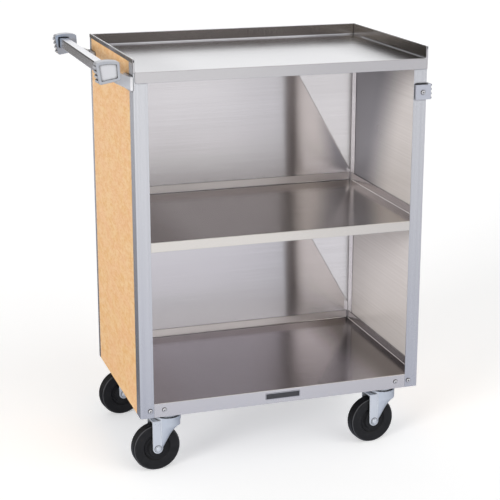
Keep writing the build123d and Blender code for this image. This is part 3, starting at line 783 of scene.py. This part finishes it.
def wheel_rubber(corner, centre, axle):
    """The rubber of one wheel."""
    material, root, shader = begin(f"wheel_rubber_{corner}", Specular_IOR_Level=0.3)
    radius = from_axle(root, centre, axle)
    dust = noise(root, (1, 1, 1), 70.0, 5.0)
    cheek = mix(root, dust, rgb(14, 14, 15), rgb(40, 40, 42))
    tread = mix(root, dust, rgb(8, 8, 9), rgb(20, 20, 21))
    rubber = mix(root, span(root, radius, 0.0492, 0.0500), cheek, tread)
    # The pale line on the wheel's shoulder is partly scuff and partly a painted highlight.
    scuff_and_highlight = span(root, radius, 0.0484, 0.0490) * span(root, radius, 0.0500, 0.0494)
    root.feed(shader.inputs["Base Color"], mix(root, scuff_and_highlight * 0.6, rubber, rgb(104, 104, 108)))
    root.feed(shader.inputs["Roughness"], dust * 0.24 + 0.34)
    root.feed(shader.inputs["Normal"], skin(root, dust, 0.06, mould_round))
    return material


rolls = {j["name"][len("roll_"):]: j for j in frame["joints"] if j["name"].startswith("roll_")}
rubbers = {}
for corner, roll in rolls.items():
    rubbers[f"wheel_{corner}"] = wheel_rubber(corner, roll["pos_m"], roll["axis"])
print("wheels:", sorted(rubbers))

# %% [markdown]
# ## Forks
# A fork is pressed from sheet: beside the straight strut that holds the axle, a gusset steps back. The
# solid has a flat leg and its flare, but not this step, which is about a millimetre deep. A bump in the
# zinc is enough for it, with a rougher gusset painted a little darker, as shade, and a painted shadow,
# a dark ring, round the axle. Where strut and axle are comes from the joints of the packed model.


# %% Make the fork zinc
def fork_zinc(corner, centre, axle, pivot):
    """The zinc of one fork: a step between strut and gusset, and a painted shadow ring round the axle.
    """
    inward = Vector((pivot[0] - centre[0], pivot[1] - centre[1], 0)).normalized()

    def gusset(root):
        here = root.node("ShaderNodeTexCoord", out="Object")
        arm = root.node("ShaderNodeVectorMath", {"operation": "SUBTRACT"}, {0: here, 1: centre})
        dot = {"operation": "DOT_PRODUCT"}
        aside = root.node("ShaderNodeVectorMath", dot, {0: arm, 1: inward}, out="Value")
        return span(root, aside, strut_half - press_soft, strut_half + press_soft)

    def step_back(root):
        return 1 - gusset(root)

    def ring(root):
        radius = from_axle(root, centre, axle)
        return span(root, radius, 0.0062, 0.0068) * span(root, radius, 0.0086, 0.0076) * 0.7

    # The gusset is painted a little darker as shade, and the ring round the axle is a painted shadow.
    marks = [(gusset, rgb(212, 219, 229), 0.04), (ring, painted_shade, 0.1)]
    return plain_metal(
        f"fork_zinc_{corner}", zinc_shades, 0.3, 700.0, 0.04, marks, step_back, Metallic=0.55)


strut_half, press_soft = 0.009, 0.0008
pivots = {joint["name"]: joint["pos_m"] for joint in frame["joints"]}
fork_zincs = {}
for corner, roll in rolls.items():
    pivot = pivots[f"swivel_{corner}"]
    fork_zincs[f"fork_{corner}"] = fork_zinc(corner, roll["pos_m"], roll["axis"], pivot)
print("forks:", sorted(fork_zincs))

# %% [markdown]
# ## The screws' metal
# The screw heads are bright in the middle. The edge of a head and its recess are painted dark, as
# shade. A head's edge is no place on the cart that a finish could find, so the screws, which are made
# further down, carry it as an attribute of their mesh.


# %% Make the screws' metal
def head_edge(root):
    """The edge and the recess of a screw's head, from the attribute that the screws carry."""
    edge = root.node("ShaderNodeAttribute", {"attribute_name": "edge"}, out="Fac")
    return span(root, edge, 0.70, 0.92)


screw_shades = rgb(238, 238, 242), rgb(248, 248, 250)
# Painted shade at a head's edge and in its recess.
screw_marks = [(head_edge, rgb(84, 82, 84), 0.2)]
screw_metal = plain_metal(
    "screw_metal", screw_shades, 0.22, 900.0, 0.02, screw_marks, nearest=0.0015, Metallic=0.6)

# %% [markdown]
# ## Painting the solids
# Each node takes the finish of the piece it stands for. Names that start alike are alike, so an entry
# is the start of a name, and the longest one that fits wins.

# %% Dress every node
finishes = {
    "top_shelf": steel_top,
    "middle_shelf": steel_middle,
    "bottom_shelf": steel_bottom,
    "back_wall": steel_back,
    "left_wall": steel_side,
    "right_wall": steel_side,
    "front_post": steel_up,
    "rear_post": steel_up,
    "corner_tie": steel_up,
    "caster_channel": steel_up,
    "left_laminate": laminate,
    "right_laminate": laminate,
    "back_laminate": laminate,
    "label_plate": label,
    "handle_bar": bright,
    "handle_bracket": casting,
    "bumper_strip": vinyl,
    "bumper_clip": clip_plate,
    "bumper_pads": pad_rubber,
    "corner_screws": screw_metal,
    "handle_screws": screw_metal,
    "bumper_screws": screw_metal,
    "kingpins": zinc,
    "swivel_balls": bright,
    "caster_": zinc,
    "axle": zinc,
    **rubbers,
    **fork_zincs,
    "hub_bearing": nylon,
}


def finish_of(name):
    """The finish of the longest entry that the node's name starts with."""
    return finishes[max((key for key in finishes if name.startswith(key)), key=len)]


for name, node in nodes.items():
    node.data.materials.clear()
    node.data.materials.append(finish_of(name))
print("painted", len(nodes), "nodes")

# %% [markdown]
# ## Screws
# A solid model's screw is a plain button. The real ones are pan heads with a cross recess. A head
# starts as a square grid, because a cross is easy to find in one: its middle row and column. The grid
# is bent to a disc and domed. How far a point is from the middle is kept as its attribute.


# %% Dome a grid
def domed_grid(shape, edge_of):
    """Adds a grid bent to a domed disc: its vertices, the faces of its cross and its border."""
    grid = bmesh.ops.create_grid(
        shape, x_segments=grid_cells, y_segments=grid_cells, size=1.0)["verts"]
    faces = dict.fromkeys(face for vert in grid for face in vert.link_faces)
    edges = dict.fromkeys(edge for face in faces for edge in face.edges)
    border = [edge for edge in edges if edge.is_boundary]
    cross = []
    for face in faces:
        near, far = sorted(abs(c) for c in face.calc_center_median().to_2d())
        if near * grid_cells < 1 and far * grid_cells < cross_cells:
            cross.append(face)
    for vert in grid:
        x, y = vert.co.x, vert.co.y
        flat = Vector((x * math.sqrt(1 - y * y / 2), y * math.sqrt(1 - x * x / 2)))
        vert[edge_of] = flat.length
        dome = math.sqrt(max(0.0, 1 - flat.length ** 3))
        vert.co = (flat * screw_radius).to_3d()
        vert.co.z = screw_rim + (screw_proud - screw_rim) * dome
    return grid, cross, border


screw_radius, screw_proud, screw_rim = 0.0048, 0.0026, 0.0010
grid_cells, cross_cells = 11, 5
print("a head is", round(screw_radius * 2000, 1), "mm across")

# %% [markdown]
# Then the cross is pushed in, and the border goes down to the seat, in to the shank and on into the
# sheet, which closes the piece. At last the screw is turned to face outward and put on its seat.


# %% Make a screw
def add_screw(shape, seat, facing, shank):
    """Adds a pan-head screw to a bmesh, its head seated at a point and facing a direction."""
    edge_of = shape.verts.layers.float.get("edge") or shape.verts.layers.float.new("edge")
    made, cross, border = domed_grid(shape, edge_of)
    pushed = bmesh.ops.extrude_face_region(shape, geom=cross)["geom"]
    recess = [part for part in pushed if isinstance(part, bmesh.types.BMVert)]
    for vert in recess:
        vert[edge_of] = 1.0
    bmesh.ops.scale(shape, vec=(recess_taper, recess_taper, 0.0), verts=recess)
    bmesh.ops.translate(shape, vec=(0, 0, screw_proud - recess_depth), verts=recess)
    made = made + recess
    for radius, level in ((screw_radius, 0.0), (shank_radius, 0.0), (shank_radius, -shank)):
        ring = bmesh.ops.extrude_edge_only(shape, edges=border)["geom"]
        edges = [part for part in ring if isinstance(part, bmesh.types.BMEdge)]
        border = [edge for edge in edges if edge.is_boundary]
        corners = [part for part in ring if isinstance(part, bmesh.types.BMVert)]
        for vert in corners:
            vert.co = (vert.co.to_2d().normalized() * radius).to_3d()
            vert.co.z = level
        made = made + corners
    bmesh.ops.edgeloop_fill(shape, edges=border)
    turned = Vector(facing).to_track_quat("Z", "Y").to_matrix()
    bmesh.ops.rotate(shape, matrix=turned, verts=made)
    bmesh.ops.translate(shape, vec=seat, verts=made)


shank_radius, recess_depth, recess_taper = 0.0022, 0.0015, 0.75
print("a shank is", round(shank_radius * 2000, 1), "mm across")
print("a recess is", round(recess_depth * 1000, 1), "mm deep")

# %% [markdown]
# The screws sit in three groups, each one node of the packed model: beside the lower corners of the
# front, on the feet of the handle's brackets, and in the bumper's clips. Each group becomes one piece
# that rides on the cart and takes its node's place.


# %% Put the screws in
def screws(node, shank, seats):
    """One piece of several screws in a node's place, each with its seat and the way it faces."""
    shape = bmesh.new()
    for seat, facing in seats:
        add_screw(shape, seat, facing, shank)
    bmesh.ops.recalc_face_normals(shape, faces=shape.faces)
    for face in shape.faces:
        face.smooth = True
    mesh = bpy.data.meshes.new(f"{node}_cross_head")
    shape.to_mesh(mesh)
    shape.free()
    mesh.set_sharp_from_angle(angle=sharp_from)
    piece = bpy.data.objects.new(f"{node}_cross_head", mesh)
    piece.data.materials.append(screw_metal)
    bpy.context.collection.objects.link(piece)
    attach(piece, "cart")
    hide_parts(node)
    print(node, "as", len(seats), "cross heads of", len(mesh.polygons) // len(seats), "faces")


sharp_from = math.radians(35)
to_front, to_back, to_left = (0, -1, 0), (0, 1, 0), (-1, 0, 0)
corner_places = (-0.25678, -0.22678, 0.29322, 0.32322)
handle_places = (-0.173, -0.153, 0.153, 0.173)
bumper_x, bumper_level = 0.33282, 0.7812
screws("corner_screws", 0.0035, [((x, -0.2018, 0.1455), to_front) for x in corner_places])
screws("handle_screws", 0.0075, [((-0.28278, y, 0.8285), to_left) for y in handle_places])
screws("bumper_screws", 0.0085, [
    ((bumper_x, -0.2088, bumper_level), to_front), ((bumper_x, 0.21, bumper_level), to_back)])

# %% [markdown]
